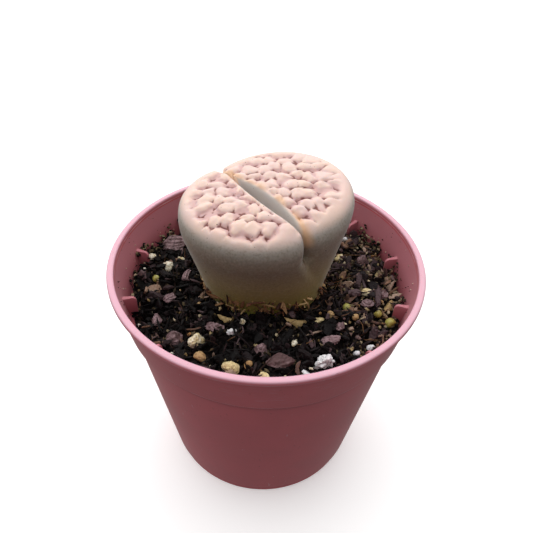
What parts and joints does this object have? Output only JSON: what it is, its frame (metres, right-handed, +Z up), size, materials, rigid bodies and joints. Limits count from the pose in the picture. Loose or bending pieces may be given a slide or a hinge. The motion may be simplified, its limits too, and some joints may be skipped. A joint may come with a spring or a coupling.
{
  "type": "potted lithops",
  "caption": "Stone-like succulent, a fused leaf pair parted by a fissure, growing in a small tapered round nursery pot of bark and pumice mix.",
  "frame": {"origin": "centre of the pot's foot, on the surface it stands on", "axes": "+Z up the pot's axis; +X to the right and +Y to the back, with the smaller leaf to the front left and the fissure running from the back left to the front right"},
  "size_m": [0.06, 0.06, 0.0631],
  "materials": {
    "pot_plastic": "injection-moulded dusty rose plastic, satin, with a smoother lip",
    "potting_mix": "damp dark peat and bark fines, crumbly",
    "leaf_skin": "waxy matt skin, cream faces with mauve channels, grey shoulders, olive below",
    "root": "fibrous, dull",
    "bark": "weathered mauve-brown bark, layered and matt",
    "pumice": "cream to yellow, porous and rough",
    "perlite": "white, frothy and matt",
    "baked_clay": "tan, dusty",
    "prill_resin": "yellow-green resin coat, slightly shiny",
    "dry_leaf": "dry, papery, straw to olive brown"
  },
  "bodies": {
    "root": {"bark_chip_01": "bark", "bark_chip_02": "bark", "bark_chip_03": "bark", "bark_chip_04": "bark", "bark_chip_05": "bark", "bark_chip_06": "bark", "bark_chip_07": "bark", "bark_chip_08": "bark", "bark_chip_09": "bark", "bark_chip_10": "bark", "bark_chip_11": "bark", "bark_chip_12": "bark", "bark_chip_13": "bark", "bark_chip_14": "bark", "bark_chip_15": "bark", "clay_pellet_01": "baked_clay", "clay_pellet_02": "baked_clay", "clay_pellet_03": "baked_clay", "clay_pellet_04": "baked_clay", "clay_pellet_05": "baked_clay", "clay_pellet_06": "baked_clay", "fertiliser_prill_01": "prill_resin", "fertiliser_prill_02": "prill_resin", "fertiliser_prill_03": "prill_resin", "fertiliser_prill_04": "prill_resin", "leaf_pair": "leaf_skin", "leaf_scrap_01": "dry_leaf", "leaf_scrap_02": "dry_leaf", "leaf_scrap_03": "dry_leaf", "perlite_grain_01": "perlite", "perlite_grain_02": "perlite", "perlite_grain_03": "perlite", "perlite_grain_04": "perlite", "perlite_grain_05": "perlite", "perlite_grain_06": "perlite", "pot": "pot_plastic", "pumice_grain_01": "pumice", "pumice_grain_02": "pumice", "pumice_grain_03": "pumice", "pumice_grain_04": "pumice", "pumice_grain_05": "pumice", "pumice_grain_06": "pumice", "pumice_grain_07": "pumice", "pumice_grain_08": "pumice", "pumice_grain_09": "pumice", "pumice_grain_10": "pumice", "pumice_grain_11": "pumice", "pumice_grain_12": "pumice", "root_system": "root", "soil": "potting_mix"}
  },
  "joints": []
}
